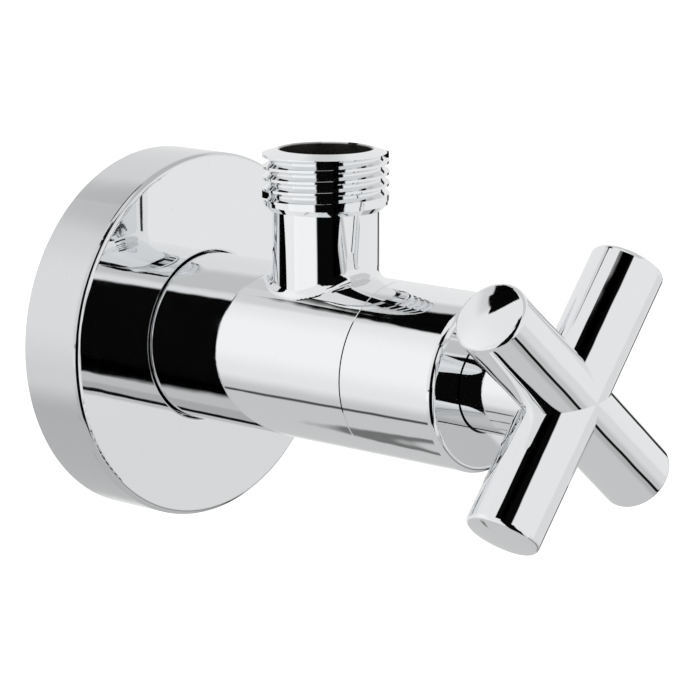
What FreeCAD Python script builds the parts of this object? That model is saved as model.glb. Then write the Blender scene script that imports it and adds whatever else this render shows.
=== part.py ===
import FreeCAD, Part
import math
import os

V = FreeCAD.Vector
OUT = "parts"
os.makedirs(OUT, exist_ok=True)

# Angle stop valve, in millimetres. The origin is on the valve's axis where it
# leaves the finished wall. The axis runs out of the wall along -Y, and every
# length along it is a distance from the wall. The outlet points up, along +Z.
# It is drawn shut, with the plunger down on its seat.

# Joints between pieces
FIT = 0.05            # radial clearance of turned and sliding fits
GAP = 0.25            # visible clearance round chromed pieces

# G 1/2 pipe thread, used at the inlet and at the outlet
PIPE_PITCH = 1.814
PIPE_CREST_R = 10.4   # finished crests, of a nominal 10.4775
PIPE_ROOT_R = 9.32
PIPE_LAND_R = 10.22   # plain land beside a thread
FLANK_DEG = 27.5
THREAD_START_DEG = 130.0  # where the grooves begin, away from the seams of the turned faces

# Body
BODY_R = 14.2
BODY_START = 3.4      # shoulder behind the rosette
BODY_JOINT = 54.3     # where the bonnet sleeve meets the body
SPIGOT_STEP = 1.5     # the spigot is this much smaller than the body
SPIGOT_LEN = 4.7
TAIL_LEN = 13.0       # inlet thread that goes into the wall
LAND_LEN = 2.2        # plain land at the start of the inlet thread
INLET_BORE_R = 6.4
THROAT_R = 5.2
SEAT_AT = 28.0
SEAT_LIP = 1.2
CHAMBER_R = 9.2
SEAT_LIP_WIDTH = 1.3

# Outlet
OUTLET_AT = 38.9
STUB_BORE_R = 7.6
STUB_WALL = 1.2
OUTLET_TOP = 34.4
THREAD_LEN = 9.9
RING_LEN = 0.7        # plain land at the foot of the outlet's thread
MOUTH_CONE = 0.75     # height of the cone round the mouth
MOUTH_CHAMFER = 0.3
FOOT_FILLET = 2.0

# Rosette
ROSETTE_R = 31.1
ROSETTE_DEPTH = 12.2
ROSETTE_WALL = 1.1
ROSETTE_EDGE = 1.0
COLLAR_LEN = 5.0
COLLAR_WALL = 2.6
GRIP_CORD_R = 0.9

# Headwork
SOCKET_R = 10.0       # threaded socket in the body's open end
HEX_AF = 21.0
FLANGE_LEN = 5.0
GASKET_T = 0.8
NOSE_LEN = 11.8       # the part that screws into the body
NOSE_GAP = 1.2        # from the chamber to the nose
NECK_R = 7.6
NECK_LEN = 4.2
GUIDE_AF = 12.1       # hexagon hole that keeps the plunger from turning
GUIDE_LEN = 10.4

# Spindle
SPINDLE_R = 4.0
COLLAR_T = 2.6
THRUST_T = 0.8
SCREW_R = 3.5
SCREW_GRIP = 7.0      # screw inside the plunger when shut
ORING_CORD_R = 0.8
ORING_PITCH = 3.0
CIRCLIP_T = 0.7
CIRCLIP_WIDTH = 1.9
CIRCLIP_DEPTH = 0.6
SPLINE_STEP = 0.15    # the spline is this much smaller than the spindle
SPLINE_DEPTH = 0.4
SPLINE_TEETH = 20
SPLINE_LEN = 8.4

# Plunger and its washer
LIFT = 5.0
WASHER_LAP = 1.7      # the washer covers the throat and its lip by this much
WASHER_T = 2.5
CUP_WALL = 0.7
HEAD_T = 3.0
SHANK_IN_GUIDE = 4.8  # plunger inside the guide when shut
SCREW_SHANK_R = 1.9
SCREW_LEN = 5.0
PLATE_R = 3.8
PLATE_T = 0.5
SCREW_HEAD_R = 3.0
SCREW_HEAD_T = 1.6

# Bonnet sleeve
SLEEVE_LEN = 18.9
SLEEVE_EDGE = 1.1
SLEEVE_CAP_T = 1.4
SLEEVE_CORD_R = 0.9
GUIDE_RING_T = 1.6

# Cross handle
HUB_R = 7.5
ARM_OUT = 15.2        # from the sleeve's end to the arms' axes
ARM_R = 6.05
ARM_REACH = 25.15
ARM_EDGE = 0.9
ARM_DOME = 0.6      # bulge of the arms' ends
ARM_TURN_DEG = 50.4   # first arm from upright, towards -X
BUSH_WALL = 1.5
GRUB_R = 1.95
GRUB_OUT = 3.4        # from the sleeve's end to the grub screw
GRUB_SOCKET_AF = 2.0

# Sizes and places that follow from the ones above
spigot_r = BODY_R - SPIGOT_STEP
body_end = BODY_JOINT + SPIGOT_LEN
sleeve_ring_at = BODY_JOINT + SPIGOT_LEN / 2
sleeve_bore_r = spigot_r + 2 * FIT
sleeve_end = BODY_JOINT + SLEEVE_LEN
stub_r = STUB_BORE_R + STUB_WALL
flange_at = body_end + GASKET_T
flange_end = flange_at + FLANGE_LEN
washer_face_r = spigot_r - 0.5
nose_at = body_end - NOSE_LEN
guide_end = nose_at + GUIDE_LEN
neck_end = flange_end + NECK_LEN
chamber_end = nose_at - NOSE_GAP
collar_r = GUIDE_AF / 2 - 0.15
spindle_collar_at = guide_end + FIT
thrust_at = spindle_collar_at + COLLAR_T
thrust_end = thrust_at + THRUST_T + FIT
circlip_at = neck_end + FIT
hub_start = circlip_at + CIRCLIP_T + 0.75
spline_r = SPINDLE_R - SPLINE_STEP
spline_start = hub_start + 1.1
spline_end = spline_start + SPLINE_LEN
washer_r = THROAT_R + WASHER_LAP
cup_floor = SEAT_AT + WASHER_T
plunger_end = nose_at + SHANK_IN_GUIDE
screw_start = plunger_end - SCREW_GRIP
arm_at = sleeve_end + ARM_OUT
grub_at = sleeve_end + GRUB_OUT

ALONG = V(0, -1, 0)


def at(s, x=0.0, z=0.0):
    """A point s out from the wall."""
    return V(x, -s, z)


def turned(profile):
    """A solid of revolution from (distance from wall, radius) corners."""
    points = [at(s, x=r) for s, r in profile]
    face = Part.Face(Part.makePolygon(points + points[:1]))
    return face.revolve(V(0, 0, 0), V(0, 1, 0), 360)


def turned_up(profile):
    """A solid of revolution round the outlet's axis from (height, radius) corners."""
    points = [at(OUTLET_AT, r, z) for z, r in profile]
    face = Part.Face(Part.makePolygon(points + points[:1]))
    return face.revolve(at(OUTLET_AT), V(0, 0, 1), 360)


def rod(r, s0, s1):
    return Part.makeCylinder(r, s1 - s0, at(s0), ALONG)


def ring(r_in, r_out, s0, s1):
    return turned([(s0, r_in), (s0, r_out), (s1, r_out), (s1, r_in)])


def prism(corners, s0, s1):
    """A prism along the axis from (x, z) corners."""
    points = [at(s0, x, z) for x, z in corners]
    face = Part.Face(Part.makePolygon(points + points[:1]))
    return face.extrude(ALONG * (s1 - s0))


def hexagon(af):
    r = af / math.sqrt(3)
    return [(r * math.cos(math.radians(a)), r * math.sin(math.radians(a)))
            for a in range(0, 360, 60)]


def star(r, depth, teeth):
    """Corners of a serrated spline with pointed teeth."""
    corners = []
    for k in range(2 * teeth):
        a = math.pi * k / teeth
        reach = r if k % 2 == 0 else r - depth
        corners.append((reach * math.cos(a), reach * math.sin(a)))
    return corners


def cord_ring(r_mid, r_cord, s):
    return Part.makeTorus(r_mid, r_cord, at(s), ALONG)


def thread_groove(z0, z1):
    """The helical groove of a pipe thread that stands upright on the origin."""
    tan = math.tan(math.radians(FLANK_DEG))
    over = 0.4
    root_half = 0.14
    top_half = root_half + (PIPE_CREST_R + over - PIPE_ROOT_R) * tan
    corners = [V(PIPE_ROOT_R, 0, -root_half), V(PIPE_ROOT_R, 0, root_half),
               V(PIPE_CREST_R + over, 0, top_half), V(PIPE_CREST_R + over, 0, -top_half)]
    for corner in corners:
        corner.z += z0
    helix = Part.makeHelix(PIPE_PITCH, z1 - z0, PIPE_ROOT_R)
    helix.translate(V(0, 0, z0))
    section = Part.makePolygon(corners + corners[:1])
    groove = Part.Wire(helix.Edges).makePipeShell([section], True, True)
    groove.rotate(V(0, 0, 0), V(0, 0, 1), THREAD_START_DEG)
    return groove


def domed_bar():
    """Two opposite arms of the handle as one bar, centred on the origin along X."""
    ball_r = (ARM_R ** 2 + ARM_DOME ** 2) / (2 * ARM_DOME)
    bar = Part.makeCylinder(ARM_R, 2 * ARM_REACH + 2, V(-ARM_REACH - 1, 0, 0), V(1, 0, 0))
    for side in (-1, 1):
        bar = bar.common(Part.makeSphere(ball_r, V(side * (ARM_REACH - ball_r), 0, 0)))
    rims = [e for e in bar.Edges if e.BoundBox.ZLength > 2 * ARM_R - 0.1 and e.BoundBox.XLength < 0.1]
    return bar.makeFillet(ARM_EDGE, rims)


def save(shape, name):
    shape.exportStep(os.path.join(OUT, name + ".step"))


# Valve body: one chromed brass casting, machined, with its outlet stub
tail_end = -TAIL_LEN
land_start = LAND_LEN / 2
body = turned([
    (tail_end, 0), (tail_end, PIPE_ROOT_R - 0.2), (tail_end + 1.1, PIPE_CREST_R),
    (-land_start, PIPE_CREST_R), (-land_start, PIPE_LAND_R), (land_start, PIPE_LAND_R),
    (land_start, PIPE_ROOT_R), (BODY_START, PIPE_ROOT_R), (BODY_START, BODY_R - 0.5),
    (BODY_START + 0.5, BODY_R), (BODY_JOINT - 0.1, BODY_R), (BODY_JOINT, BODY_R - 0.1),
    (BODY_JOINT, spigot_r), (body_end, spigot_r), (body_end, 0)])
thread_top = OUTLET_TOP - MOUTH_CONE
stub = Part.makeCylinder(stub_r, thread_top, at(OUTLET_AT), V(0, 0, 1))
body = body.fuse(stub)
feet = [e for e in body.Edges
        if e.BoundBox.ZMin > 0.5 * BODY_R and e.BoundBox.ZMax < BODY_R + 0.5
        and abs(e.BoundBox.XLength - 2 * stub_r) < 0.1
        and abs(e.BoundBox.YLength - 2 * stub_r) < 0.1]
body = body.makeFillet(FOOT_FILLET, feet)
thread_foot = OUTLET_TOP - THREAD_LEN
land_foot = thread_foot + 0.9
land_top = land_foot + RING_LEN
collar = turned_up([
    (thread_foot, 0), (thread_foot, PIPE_LAND_R - 0.9), (land_foot, PIPE_LAND_R),
    (land_top, PIPE_LAND_R), (land_top, PIPE_CREST_R), (thread_top, PIPE_CREST_R),
    (OUTLET_TOP, STUB_BORE_R + MOUTH_CHAMFER + 0.15), (OUTLET_TOP, 0)])
body = body.fuse(collar)
seat_floor = SEAT_AT - SEAT_LIP
seat_r = THROAT_R + SEAT_LIP_WIDTH
body = body.cut([
    rod(INLET_BORE_R, tail_end - 1, SEAT_AT - 6),
    rod(THROAT_R, SEAT_AT - 7, SEAT_AT + 1),
    rod(CHAMBER_R, seat_floor, chamber_end + 1).cut(rod(seat_r, seat_floor, SEAT_AT)),
    rod(SOCKET_R, chamber_end, body_end + 1),
    Part.makeCylinder(STUB_BORE_R, OUTLET_TOP + 1, at(OUTLET_AT), V(0, 0, 1)),
    Part.makeCone(STUB_BORE_R, STUB_BORE_R + MOUTH_CHAMFER, MOUTH_CHAMFER,
                  at(OUTLET_AT, z=OUTLET_TOP - MOUTH_CHAMFER), V(0, 0, 1)),
    cord_ring(sleeve_bore_r - SLEEVE_CORD_R, SLEEVE_CORD_R + 0.02, sleeve_ring_at),
])
outlet_groove = thread_groove(land_top + 0.85, thread_top - 0.3)
outlet_groove.translate(at(OUTLET_AT))
inlet_groove = thread_groove(-PIPE_PITCH, TAIL_LEN - land_start - 0.7)
inlet_groove.rotate(V(0, 0, 0), V(1, 0, 0), 90)
inlet_groove.translate(at(tail_end))
body = body.cut(outlet_groove)
body = body.cut(inlet_groove)
save(body, "valve_body")

# Inlet seal ring: a flat plastic ring that the body squeezes on the wall fitting
save(ring(PIPE_ROOT_R + FIT, BODY_R - 1.8, land_start + 0.1, BODY_START), "inlet_seal_ring")

# Wall rosette: a spun cover with a thicker collar that slides on the body
hole_r = BODY_R + GAP
neck_r = hole_r + COLLAR_WALL
inner = ROSETTE_DEPTH - ROSETTE_WALL
collar_back = ROSETTE_DEPTH - COLLAR_LEN
rim_r = ROSETTE_R - ROSETTE_WALL
rosette = turned([
    (0, rim_r), (0, ROSETTE_R), (ROSETTE_DEPTH, ROSETTE_R), (ROSETTE_DEPTH, hole_r),
    (collar_back, hole_r), (collar_back, neck_r), (inner, neck_r), (inner, rim_r)])
front_edge = [e for e in rosette.Edges
              if e.BoundBox.XLength > 2 * ROSETTE_R - 0.1 and e.BoundBox.YMax < -ROSETTE_DEPTH + 0.1]
rosette = rosette.makeFillet(ROSETTE_EDGE, front_edge)
lip_edge = [e for e in rosette.Edges
            if abs(e.BoundBox.XLength - 2 * hole_r) < 0.1 and e.BoundBox.YMax < -ROSETTE_DEPTH + 0.1]
rosette = rosette.makeFillet(0.35, lip_edge)
grip_at = ROSETTE_DEPTH - COLLAR_LEN / 2
grip_mid = BODY_R + FIT + GRIP_CORD_R
rosette = rosette.cut(cord_ring(grip_mid, GRIP_CORD_R + 0.02, grip_at))
save(rosette, "wall_rosette")

# Rosette grip ring: the O-ring in the collar that holds the rosette where it is pushed
save(cord_ring(grip_mid, GRIP_CORD_R, grip_at), "rosette_grip_ring")

# Headwork housing: a brass hexagon that screws into the body and carries the spindle
nose_r = SOCKET_R - FIT
crown = turned([
    (flange_at, 0), (flange_at, HEX_AF), (flange_end - 0.9, HEX_AF / 2 + 1.6),
    (flange_end, HEX_AF / 2 - 0.2), (flange_end, 0)])
housing = prism(hexagon(HEX_AF), flange_at, flange_end).common(crown)
housing = housing.fuse([
    rod(nose_r, nose_at, flange_at), rod(washer_face_r, flange_at, flange_at + 0.8),
    rod(NECK_R, flange_end, neck_end)])
housing = housing.cut([
    prism(hexagon(GUIDE_AF), nose_at - 1, guide_end),
    rod(collar_r + FIT, guide_end - 0.01, thrust_end),
    rod(SPINDLE_R + FIT, thrust_end - 0.01, neck_end + 1)])
save(housing, "headwork_housing")

# Headwork gasket: a fibre ring under the hexagon
save(ring(nose_r + FIT, washer_face_r, body_end, flange_at), "headwork_gasket")

# Spindle: it turns in the housing, and its left-hand screw draws the plunger along
clip_r = SPINDLE_R - CIRCLIP_DEPTH
clip_end = circlip_at + CIRCLIP_T
spindle = turned([
    (screw_start, 0), (screw_start, SCREW_R - 0.5), (screw_start + 0.5, SCREW_R),
    (spindle_collar_at, SCREW_R), (spindle_collar_at, collar_r), (thrust_at, collar_r),
    (thrust_at, SPINDLE_R), (circlip_at, SPINDLE_R), (circlip_at, clip_r), (clip_end, clip_r),
    (clip_end, SPINDLE_R), (spline_start, SPINDLE_R), (spline_start, 0)])
spline = prism(star(spline_r, SPLINE_DEPTH, SPLINE_TEETH), spline_start, spline_end)
oring_at = [thrust_end + 2.3, thrust_end + 2.3 + ORING_PITCH]
oring_mid = SPINDLE_R + FIT - ORING_CORD_R
spindle = spindle.fuse(spline)
spindle = spindle.cut([cord_ring(oring_mid, ORING_CORD_R, s) for s in oring_at])
save(spindle, "spindle")

# Spindle O-rings: two rings in the spindle's grooves keep water in the housing
save(cord_ring(oring_mid, ORING_CORD_R - 0.02, oring_at[0]), "spindle_ring_inner")
save(cord_ring(oring_mid, ORING_CORD_R - 0.02, oring_at[1]), "spindle_ring_outer")

# Thrust washer: a slippery ring between the spindle's collar and the housing
save(ring(SPINDLE_R + FIT, collar_r - FIT, thrust_at, thrust_at + THRUST_T), "spindle_thrust_washer")

# Circlip: it holds the spindle in the housing from the outside
clip = ring(clip_r, clip_r + CIRCLIP_WIDTH, circlip_at, clip_end)
clip_mouth = Part.makeBox(3.4, 2, SPINDLE_R + 3, at(circlip_at + 1.5, x=-1.7))
save(clip.cut(clip_mouth), "spindle_circlip")

# Plunger: a hexagon that can't turn in its guide, with a cup for the washer
screw_tip = cup_floor + SCREW_LEN - PLATE_T
plunger = rod(washer_r + CUP_WALL, SEAT_AT + 0.6, cup_floor + HEAD_T)
plunger = plunger.fuse(prism(hexagon(GUIDE_AF - 2 * FIT), cup_floor + HEAD_T, plunger_end))
plunger = plunger.cut([
    rod(washer_r, SEAT_AT, cup_floor),
    rod(SCREW_R + FIT, screw_start - LIFT - 1, plunger_end + 1),
    rod(SCREW_SHANK_R, cup_floor - 0.1, screw_tip)])
save(plunger, "plunger")

# Seat washer: the rubber disc that shuts the water off
save(ring(SCREW_SHANK_R, washer_r, SEAT_AT, cup_floor), "seat_washer")

# Washer plate: a thin steel disc under the screw's head
save(ring(SCREW_SHANK_R, PLATE_R, SEAT_AT - PLATE_T, SEAT_AT), "washer_plate")

# Washer screw: it holds the plate and the rubber washer on the plunger
head_back = SEAT_AT - PLATE_T
washer_screw = rod(SCREW_HEAD_R, head_back - SCREW_HEAD_T, head_back)
washer_screw = washer_screw.fuse(rod(SCREW_SHANK_R, head_back, screw_tip))
slot = Part.makeBox(2 * SCREW_HEAD_R + 1, 0.8, 0.7, V(-SCREW_HEAD_R - 0.5, -0.8, -0.35))
slot.translate(at(head_back - SCREW_HEAD_T))
save(washer_screw.cut(slot), "washer_screw")

# Bonnet sleeve: a chromed cover that carries the body's line on to the handle
cap_at = sleeve_end - SLEEVE_CAP_T
sleeve_hole_r = HUB_R + GAP
sleeve = turned([
    (BODY_JOINT + FIT, sleeve_bore_r), (BODY_JOINT + FIT, BODY_R - 0.1),
    (BODY_JOINT + FIT + 0.1, BODY_R), (sleeve_end, BODY_R), (sleeve_end, sleeve_hole_r),
    (cap_at, sleeve_hole_r), (cap_at, sleeve_bore_r)])
sleeve_edge = [e for e in sleeve.Edges
               if e.BoundBox.XLength > 2 * BODY_R - 0.1 and e.BoundBox.YMax < -sleeve_end + 0.1]
sleeve = sleeve.makeFillet(SLEEVE_EDGE, sleeve_edge)
save(sleeve, "bonnet_sleeve")

# Sleeve ring: the O-ring on the body's spigot that the sleeve is pushed over
save(cord_ring(sleeve_bore_r - SLEEVE_CORD_R, SLEEVE_CORD_R, sleeve_ring_at), "bonnet_sleeve_ring")

# Hub guide ring: a plastic ring inside the sleeve's end that centres the handle
save(ring(HUB_R + 2 * FIT, sleeve_bore_r, cap_at - GUIDE_RING_T, cap_at), "hub_guide_ring")

# Cross handle: one casting, a hub with four plain arms
hub = rod(HUB_R, hub_start, arm_at)
arms = []
for turn in (ARM_TURN_DEG, ARM_TURN_DEG + 90):
    arm = domed_bar()
    arm.rotate(V(0, 0, 0), V(0, 1, 0), -90 - turn)
    arm.translate(at(arm_at))
    arms.append(arm)
handle = hub.fuse(arms)
bush_r = spline_r + FIT + BUSH_WALL
handle = handle.cut([
    rod(bush_r, hub_start - 1, spline_end + 0.6),
    Part.makeCylinder(GRUB_R, HUB_R + 1, at(grub_at), V(0, 0, -1))])
save(handle, "cross_handle")

# Spline bush: the plastic insert that grips the spindle's spline
bush = rod(bush_r, spline_start, spline_end + 0.5)
bush = bush.cut([
    prism(star(spline_r + FIT, SPLINE_DEPTH, SPLINE_TEETH), spline_start - 1, spline_end + 0.1),
    Part.makeCylinder(GRUB_R, HUB_R + 1, at(grub_at), V(0, 0, -1))])
save(bush, "handle_spline_bush")

# Handle grub screw: it locks the handle from below, with a hexagon socket
grub_top = -(HUB_R - 0.4)
grub = Part.makeCylinder(GRUB_R, -grub_top - spline_r - FIT, at(grub_at, z=grub_top), V(0, 0, 1))
socket = [V(x, y, 0) for x, y in hexagon(GRUB_SOCKET_AF)]
socket = Part.Face(Part.makePolygon(socket + socket[:1])).extrude(V(0, 0, 1.6))
socket.translate(at(grub_at, z=grub_top))
save(grub.cut(socket), "handle_grub_screw")
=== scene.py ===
import math

import bmesh
import bpy
from mathutils import Matrix, Vector

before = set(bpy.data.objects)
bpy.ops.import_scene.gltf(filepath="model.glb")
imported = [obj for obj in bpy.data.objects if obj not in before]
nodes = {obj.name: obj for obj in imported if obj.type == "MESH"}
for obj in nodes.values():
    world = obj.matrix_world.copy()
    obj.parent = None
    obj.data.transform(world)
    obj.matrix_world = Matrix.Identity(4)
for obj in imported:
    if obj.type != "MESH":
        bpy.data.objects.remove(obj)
bpy.context.view_layer.update()

# Camera: a long lens from the left and a little above, at the handle's side.
# It is the one view that the studio below is arranged around.
CAMERA_AZIMUTH = -48.619
CAMERA_ELEVATION = 11.544
CAMERA_DISTANCE = 0.491139
CAMERA_LENS = 158.02
LOOK_AT = Vector((-0.005865, -0.048868, 0.003521))

camera = bpy.data.objects.new("camera", bpy.data.cameras.new("camera"))
bpy.context.scene.collection.objects.link(camera)
bpy.context.scene.camera = camera
azimuth = math.radians(CAMERA_AZIMUTH)
elevation = math.radians(CAMERA_ELEVATION)
back = Vector((math.sin(azimuth) * math.cos(elevation),
               -math.cos(azimuth) * math.cos(elevation),
               math.sin(elevation)))
camera.location = LOOK_AT + back * CAMERA_DISTANCE
camera.rotation_mode = "QUATERNION"
camera.rotation_quaternion = (-back).to_track_quat("-Z", "Y")
camera.data.sensor_width = 36
camera.data.lens = CAMERA_LENS
camera.data.clip_start = 0.01


# Studio: a white tent lit from all round, with one tall dark gap where the
# camera looks in. The gap gives polished metal its black stripes. The floor
# is a plain pale sheet a good way below.
def shader_node(tree, kind, settings=None, **values):
    """A node with its options set, and its inputs set or linked by number or name."""
    made = tree.nodes.new(kind)
    for key, value in (settings or {}).items():
        setattr(made, key, value)
    for key, value in values.items():
        socket = made.inputs[int(key[1:]) if key[0] == "i" and key[1:].isdigit() else key]
        if isinstance(value, bpy.types.NodeSocket):
            tree.links.new(value, socket)
        else:
            socket.default_value = value
    return made


def maths(tree, operation, a, b=0.0, c=0.0):
    made = shader_node(tree, "ShaderNodeMath", {"operation": operation}, i0=a, i1=b, i2=c)
    return made.outputs[0]


def ramp_between(tree, value, low, high, out_low=0.0, out_high=1.0, smooth=True):
    """out_low up to low, out_high from high on, and a soft or straight ramp between."""
    made = shader_node(tree, "ShaderNodeMapRange",
                       {"interpolation_type": "SMOOTHSTEP" if smooth else "LINEAR"},
                       i0=value, i1=low, i2=high, i3=out_low, i4=out_high)
    return made.outputs[0]


def patch(tree, turn, height, left, right, bottom, top, soft):
    """1 inside a patch of sky between two azimuths and two heights, with soft sides."""
    sides = maths(tree, "MULTIPLY",
                  ramp_between(tree, turn, left - soft, left + soft),
                  ramp_between(tree, turn, right - soft, right + soft, 1.0, 0.0))
    ends = maths(tree, "MULTIPLY",
                 ramp_between(tree, height, bottom - soft, bottom + soft),
                 ramp_between(tree, height, top - soft, top + soft, 1.0, 0.0))
    return maths(tree, "MULTIPLY", sides, ends)


studio = bpy.data.worlds.new("studio")
bpy.context.scene.world = studio
studio.use_nodes = True
sky = studio.node_tree
sky.nodes.clear()
direction = shader_node(sky, "ShaderNodeTexCoord").outputs["Generated"]
split = shader_node(sky, "ShaderNodeSeparateXYZ", i0=direction)
to_front = maths(sky, "MULTIPLY", split.outputs[1], -1.0)
turn = maths(sky, "DEGREES", maths(sky, "ARCTAN2", split.outputs[0], to_front))
height = maths(sky, "DEGREES", maths(sky, "ARCSINE", split.outputs[2]))

TENT_LIGHT = 0.86
GROUND_LIGHT = 0.60
SOFTBOX_LIGHT = 0.12
TABLE_BELOW = -34    # degrees of height where the table takes over from the tent
TENT_ABOVE = -21
# azimuth from, azimuth to, height from, height to, softness, how black; all but the last in degrees
DARK_PATCHES = [
    (-68, -22, -42, 62, 1.8, 0.997),      # the gap the camera looks in through
    (-34, -13, -44, -4, 1.8, 0.997),
    (-92, -30, 50, 62, 1.8, 0.997),       # and its lintel
    (162, 181, 49.4, 62, 0.6, 0.997),     # a black panel high at the back
    (-181, -168, 48.6, 62, 0.6, 0.997),
    (-169, -150, 46.9, 62, 0.6, 0.997),
    (-14, 181, 42, 88, 3.0, 0.26),        # the tent's roof, a little darker
    (-181, -156, 42, 62, 3.0, 0.20),
    (5, 112, -50, -37, 4.0, 0.22),        # the table, darker on the right
    (5, 112, -41.2, -36.2, 0.7, 0.99),    # with a black edge
    (160, 181, -51, -49.4, 0.5, 0.70),    # a seam in the table's paper
    (-181, -160, -51, -49.4, 0.5, 0.70),
    (20, 90, -32, -11.5, 1.5, 0.12),      # the wall of the tent behind it
    (-149, -138, -38.4, -36.2, 0.8, 0.90),
    (98, 110, -30, 4, 1.0, 0.97),         # a stand at the right
    (-90, -65, -4, -2.4, 0.5, 0.85),
]
# azimuth from, azimuth to, height from, height to, softness: two softboxes
BRIGHT_PATCHES = [
    (-152, -118, -8, 38, 12.0),
    (-120, -70, -15, -5, 2.0),
]
light = ramp_between(sky, height, TABLE_BELOW, TENT_ABOVE, GROUND_LIGHT, TENT_LIGHT)
for left, right, bottom, top, soft in BRIGHT_PATCHES:
    glow = patch(sky, turn, height, left, right, bottom, top, soft)
    light = maths(sky, "MULTIPLY_ADD", glow, SOFTBOX_LIGHT, light)
for left, right, bottom, top, soft, black in DARK_PATCHES:
    shade = patch(sky, turn, height, left, right, bottom, top, soft)
    light = maths(sky, "MULTIPLY", light, maths(sky, "MULTIPLY_ADD", shade, -black, 1.0))
seen_directly = shader_node(sky, "ShaderNodeLightPath").outputs["Is Camera Ray"]
light = maths(sky, "MAXIMUM", light, seen_directly)
backdrop = shader_node(sky, "ShaderNodeBackground", i0=(1.0, 1.0, 1.0, 1.0), i1=light)
shader_node(sky, "ShaderNodeOutputWorld", i0=backdrop.outputs[0])

FLOOR_BELOW = 0.30
FLOOR_SIZE = 6.0
floor_mesh = bpy.data.meshes.new("floor")
grid = bmesh.new()
bmesh.ops.create_grid(grid, x_segments=1, y_segments=1, size=FLOOR_SIZE,
                      matrix=Matrix.Translation((0, 0, -FLOOR_BELOW)))
grid.to_mesh(floor_mesh)
grid.free()
floor = bpy.data.objects.new("floor", floor_mesh)
bpy.context.scene.collection.objects.link(floor)
floor.visible_glossy = False
floor.visible_diffuse = False
paper = bpy.data.materials.new("floor_paper")
paper.use_nodes = True
paper_shader = paper.node_tree.nodes["Principled BSDF"]
paper_shader.inputs["Base Color"].default_value = (0.9, 0.9, 0.9, 1.0)
paper_shader.inputs["Roughness"].default_value = 0.9
paper_shader.inputs["Specular IOR Level"].default_value = 0.1
paper_shader.inputs["Emission Color"].default_value = (1.0, 1.0, 1.0, 1.0)
paper_shader.inputs["Emission Strength"].default_value = 0.55
floor_mesh.materials.append(paper)

bpy.context.scene.view_settings.view_transform = "Standard"


# Valve body: a brass casting, turned and bored, then polished and chromed.
# The plating stops inside the bores; the dull brass there is painted near black, as painted shade in the
# bores.
def new_material(name):
    made = bpy.data.materials.new(name)
    made.use_nodes = True
    made.node_tree.nodes.clear()
    return made


def finish_material(made, shader_socket):
    shader_node(made.node_tree, "ShaderNodeOutputMaterial", i0=shader_socket)
    return made


def dress(node, made):
    for material_slot in nodes[node].material_slots:
        material_slot.material = made


def object_place(tree, shift=0.0):
    """The place on the piece itself, shifted so that no two pieces carry the same marks."""
    where = shader_node(tree, "ShaderNodeTexCoord").outputs["Object"]
    return shader_node(tree, "ShaderNodeVectorMath", {"operation": "ADD"},
                       i0=where, i1=(shift, 0.5 * shift, 0.0)).outputs[0]


def bump_from(tree, height_value, depth, strength=1.0, base=None):
    values = {"Height": height_value, "Distance": depth, "Strength": strength}
    if base is not None:
        values["Normal"] = base
    return shader_node(tree, "ShaderNodeBump", None, **values).outputs[0]


def noise(tree, where, scale, detail=2.0, rough=0.5):
    return shader_node(tree, "ShaderNodeTexNoise", None,
                       Vector=where, Scale=scale, Detail=detail, Roughness=rough).outputs["Fac"]


def blend(tree, factor, first, second):
    return shader_node(tree, "ShaderNodeMix", {"data_type": "RGBA"},
                       i0=factor, i6=first, i7=second).outputs[2]


def stretched(tree, where, x, y, z):
    """The place with each axis drawn out or pressed together, for marks that run one way."""
    return shader_node(tree, "ShaderNodeVectorMath", {"operation": "MULTIPLY"},
                       i0=where, i1=(x, y, z)).outputs[0]


def principled(tree, **values):
    return shader_node(tree, "ShaderNodeBsdfPrincipled", None, **values).outputs[0]


CHROME_COLOR = (0.885, 0.895, 0.905, 1.0)
SPOT_COLOR = (0.80, 0.81, 0.82, 1.0)
POLISH_WAVE_SCALE = 150.0
POLISH_WAVE_DEPTH = 0.000060
MICRO_SCALE = 5200.0
MICRO_DEPTH = 0.0000002
FILM_SCALE = 260.0
SPOT_SCALE = 900.0


def chrome_surface(tree, wave=1.0, shift=0.0, color=CHROME_COLOR, dull=0.0):
    """Polished plate: faint polishing waves, a thin wiped film and a few water spots."""
    where = object_place(tree, shift)
    normal = bump_from(tree, noise(tree, where, POLISH_WAVE_SCALE, 1.0, 0.4), POLISH_WAVE_DEPTH * wave)
    normal = bump_from(tree, noise(tree, where, MICRO_SCALE, 3.0, 0.6), MICRO_DEPTH, 1.0, normal)
    film = noise(tree, where, FILM_SCALE, 5.0, 0.65)
    roughness = ramp_between(tree, film, 0.45, 0.75, 0.018 + dull, 0.055 + dull)
    spots = ramp_between(tree, noise(tree, where, SPOT_SCALE, 2.0, 0.5), 0.66, 0.74)
    plate = blend(tree, maths(tree, "MULTIPLY", spots, 0.25), color, SPOT_COLOR)
    return principled(tree, Metallic=1.0, Roughness=roughness, Normal=normal, **{"Base Color": plate})


def brass_surface(tree, bright, dark, shift=0.0, low=0.22, high=0.42, metal=1.0):
    """Turned brass: fine tool rings round the axis and darker patches of tarnish."""
    where = object_place(tree, shift)
    rings = noise(tree, stretched(tree, where, 40.0, 9000.0, 40.0), 1.0, 2.0, 0.5)
    normal = bump_from(tree, rings, 0.000004)
    tarnish = ramp_between(tree, noise(tree, where, 320.0, 5.0, 0.62), 0.40, 0.68)
    return principled(tree, Metallic=metal, Normal=normal,
                      Roughness=ramp_between(tree, tarnish, 0.0, 1.0, low, high, smooth=False),
                      **{"Base Color": blend(tree, tarnish, bright, dark)})


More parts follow.
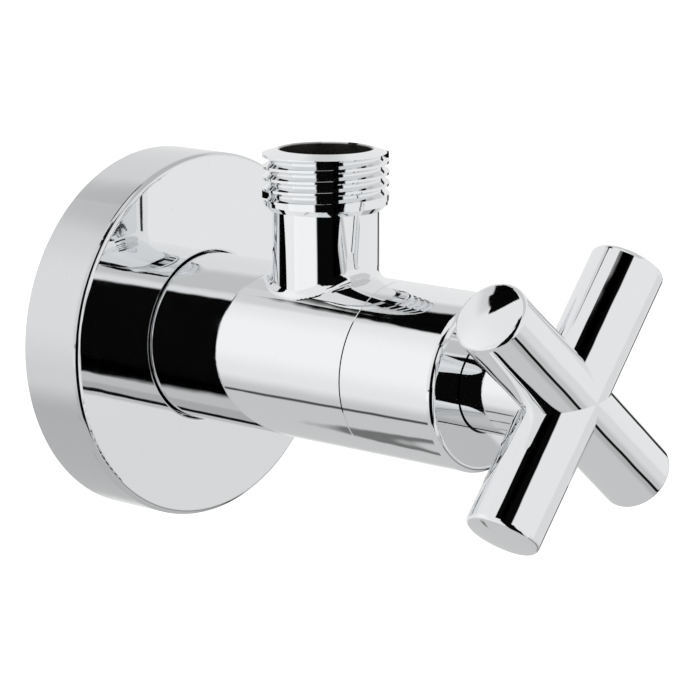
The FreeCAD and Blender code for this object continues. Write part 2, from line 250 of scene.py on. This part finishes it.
def inside_round(tree, across, up, radius, soft=0.0002):
    """1 within a radius of an axis, from the two distances across it."""
    far = maths(tree, "SQRT", maths(tree, "MULTIPLY_ADD", across, across, maths(tree, "MULTIPLY", up, up)))
    return ramp_between(tree, far, radius - soft, radius + soft, 1.0, 0.0)


OUTLET_AXIS_Y = -0.0389
OUTLET_BORE_SHADE = 0.00775
BODY_BORE_SHADE = 0.0122
BORE_SHADE_TO = 0.0012    # painted shade on the dull, unplated brass of the bore as far as this, just behind the wall's face
BORE_SHADE_GONE_FROM = 0.0016
TAIL_BORE_SHADE = 0.0066
STUB_BORE_FOOT = 0.0040   # above the body's axis
SHADE_EDGE = 0.0005
# Painted shade: near-black colours for the dull brass inside the bores.
BORE_SHADE_LIGHTER = (0.100, 0.094, 0.086, 1.0)
BORE_SHADE_DARKER = (0.012, 0.012, 0.012, 1.0)

body_look = new_material("body_chrome_and_painted_bore_shade")
tree = body_look.node_tree
place = shader_node(tree, "ShaderNodeSeparateXYZ", i0=object_place(tree))
x_out, y_out, z_out = place.outputs[0], place.outputs[1], place.outputs[2]
stub_bore_shade = inside_round(tree, x_out, maths(tree, "SUBTRACT", y_out, OUTLET_AXIS_Y), OUTLET_BORE_SHADE)
stub_bore_shade = maths(tree, "MULTIPLY", stub_bore_shade,
                ramp_between(tree, z_out, STUB_BORE_FOOT, STUB_BORE_FOOT + SHADE_EDGE))
body_bore_shade = inside_round(tree, x_out, z_out, BODY_BORE_SHADE)
body_bore_shade = maths(tree, "MULTIPLY", body_bore_shade,
                ramp_between(tree, y_out, BORE_SHADE_TO, BORE_SHADE_GONE_FROM, 1.0, 0.0))
tail_bore_shade = inside_round(tree, x_out, z_out, TAIL_BORE_SHADE)
# Where the bores' painted shade goes on in place of the chrome.
bore_shade_mask = maths(tree, "MAXIMUM", stub_bore_shade, maths(tree, "MAXIMUM", body_bore_shade, tail_bore_shade))
bore_painted_shade = brass_surface(tree, BORE_SHADE_LIGHTER, BORE_SHADE_DARKER, 0.0, 0.25, 0.5, 0.7)
body_mix = shader_node(tree, "ShaderNodeMixShader", i0=bore_shade_mask,
                       i1=chrome_surface(tree, 0.5), i2=bore_painted_shade).outputs[0]
dress("valve_body", finish_material(body_look, body_mix))


# Inlet seal ring: white plastic, squeezed flat between the body and the wall fitting.
# Moulded, slightly soft to the touch, with faint scuffs.
def plastic(name, color, scuffed, shift, low=0.35, high=0.6, grain=2200.0):
    """A moulded surface: fine grain, and scuffs that change its colour and its sheen."""
    made = new_material(name)
    tree = made.node_tree
    where = object_place(tree, shift)
    scuffs = ramp_between(tree, noise(tree, where, 420.0, 5.0, 0.65), 0.42, 0.70)
    normal = bump_from(tree, noise(tree, where, grain, 3.0, 0.5), 0.000008)
    return finish_material(made, principled(
        tree, Normal=normal, Roughness=ramp_between(tree, scuffs, 0.0, 1.0, low, high, smooth=False),
        **{"Base Color": blend(tree, scuffs, color, scuffed)}))


WHITE_PLASTIC = (0.82, 0.82, 0.79, 1.0)
WHITE_SCUFFED = (0.66, 0.65, 0.61, 1.0)
dress("inlet_seal_ring", plastic("seal_plastic", WHITE_PLASTIC, WHITE_SCUFFED, 0.11))


# Wall rosette: spun brass, chromed; the face is mirror bright, the rim has a softer
# polish and looks a little greyer. It slides on the body.
RIM_RADIUS = 0.0306
RIM_COLOR = (0.70, 0.71, 0.72, 1.0)
rosette_look = new_material("rosette_chrome")
tree = rosette_look.node_tree
place = shader_node(tree, "ShaderNodeSeparateXYZ", i0=object_place(tree))
face = inside_round(tree, place.outputs[0], place.outputs[2], RIM_RADIUS, 0.00025)
rosette_mix = shader_node(tree, "ShaderNodeMixShader", i0=face,
                          i1=chrome_surface(tree, 0.3, 0.44, RIM_COLOR, 0.05),
                          i2=chrome_surface(tree, 0.35, 0.31)).outputs[0]
dress("wall_rosette", finish_material(rosette_look, rosette_mix))


# Rosette grip ring: a black rubber O-ring in the collar's groove.
# Moulded, matt, with a trace of silicone grease.
def rubber(name, shift):
    return plastic(name, (0.018, 0.018, 0.019, 1.0), (0.045, 0.045, 0.047, 1.0), shift, 0.38, 0.72, 3600.0)


dress("rosette_grip_ring", rubber("grip_rubber", 0.21))


# Headwork housing: bare turned brass, a hexagon and a long nose, screwed in the body.
# Bright where the tool cut last, browner where it has been handled.
BRASS_BRIGHT = (0.80, 0.58, 0.27, 1.0)
BRASS_DARK = (0.46, 0.30, 0.13, 1.0)


def brass(name, shift):
    made = new_material(name)
    return finish_material(made, brass_surface(made.node_tree, BRASS_BRIGHT, BRASS_DARK, shift))


dress("headwork_housing", brass("housing_brass", 0.13))

# Headwork gasket: a pressed ring of red fibre under the hexagon.
# Dry and matt, with fibres and darker specks.
dress("headwork_gasket", plastic("gasket_fibre", (0.42, 0.075, 0.045, 1.0), (0.22, 0.045, 0.03, 1.0),
                                 0.17, 0.75, 0.92, 5200.0))

# Spindle: turned brass with a serrated end; the handle turns it.
# Its left-hand screw runs in the plunger.
dress("spindle", brass("spindle_brass", 0.29))

# Spindle O-rings: two black rubber rings in the spindle's grooves.
# They keep the water in the housing.
dress("spindle_ring_inner", rubber("inner_ring_rubber", 0.33))
dress("spindle_ring_outer", rubber("outer_ring_rubber", 0.37))

# Thrust washer: a thin ring of white slippery plastic on the spindle's collar.
# Polished by rubbing.
dress("spindle_thrust_washer", plastic("thrust_plastic", WHITE_PLASTIC, WHITE_SCUFFED, 0.39, 0.22, 0.45))


# Circlip: stamped stainless steel, sprung in the spindle's last groove.
# Tumbled, so it has a soft even sheen.
def steel(name, shift):
    """Tumbled stainless: an even satin sheen with duller worn patches."""
    made = new_material(name)
    tree = made.node_tree
    where = object_place(tree, shift)
    worn = ramp_between(tree, noise(tree, where, 700.0, 4.0, 0.6), 0.38, 0.68)
    normal = bump_from(tree, noise(tree, where, 4200.0, 3.0, 0.55), 0.000003)
    return finish_material(made, principled(
        tree, Metallic=1.0, Normal=normal,
        Roughness=ramp_between(tree, worn, 0.0, 1.0, 0.20, 0.38, smooth=False),
        **{"Base Color": blend(tree, worn, (0.62, 0.61, 0.59, 1.0), (0.44, 0.43, 0.41, 1.0))}))


dress("spindle_circlip", steel("circlip_steel", 0.41))

# Plunger: turned brass, a hexagon that slides in the housing without turning.
# Its cup holds the rubber washer.
dress("plunger", brass("plunger_brass", 0.43))

# Seat washer: the flat black rubber disc that closes on the seat.
# It lies in the plunger's cup.
dress("seat_washer", rubber("seat_rubber", 0.47))

# Washer plate: a thin stainless disc that spreads the screw's pull.
# It lies on the rubber.
dress("washer_plate", steel("plate_steel", 0.53))

# Washer screw: a small slotted stainless screw through plate and rubber.
# It screws in the plunger.
dress("washer_screw", steel("screw_steel", 0.59))

# Bonnet sleeve: a turned brass cover, chromed, pushed over the body's spigot.
# It carries the body's line on to the handle.
sleeve_look = new_material("sleeve_chrome")
dress("bonnet_sleeve", finish_material(sleeve_look, chrome_surface(sleeve_look.node_tree, 0.5, 0.57)))

# Sleeve ring: a black rubber O-ring on the spigot that grips the sleeve.
# It sits half in the spigot's groove.
dress("bonnet_sleeve_ring", rubber("sleeve_ring_rubber", 0.61))

# Hub guide ring: a grey plastic ring pressed in the sleeve's end.
# It centres the handle's hub.
dress("hub_guide_ring", plastic("guide_plastic", (0.28, 0.29, 0.30, 1.0), (0.20, 0.20, 0.21, 1.0), 0.67))

# Cross handle: one zinc casting with four plain arms, polished by hand and chromed.
# Hand polishing leaves the arms very slightly wavy.
handle_look = new_material("handle_chrome")
dress("cross_handle", finish_material(handle_look, chrome_surface(handle_look.node_tree, 1.0, 0.83)))

# Spline bush: a grey plastic insert with inside teeth.
# It is pressed in the hub and grips the spindle's spline.
dress("handle_spline_bush", plastic("bush_plastic", (0.28, 0.29, 0.30, 1.0), (0.20, 0.20, 0.21, 1.0), 0.71))

# Handle grub screw: stainless, with a hexagon socket, under the hub.
# It locks the handle on the bush.
dress("handle_grub_screw", steel("grub_steel", 0.73))
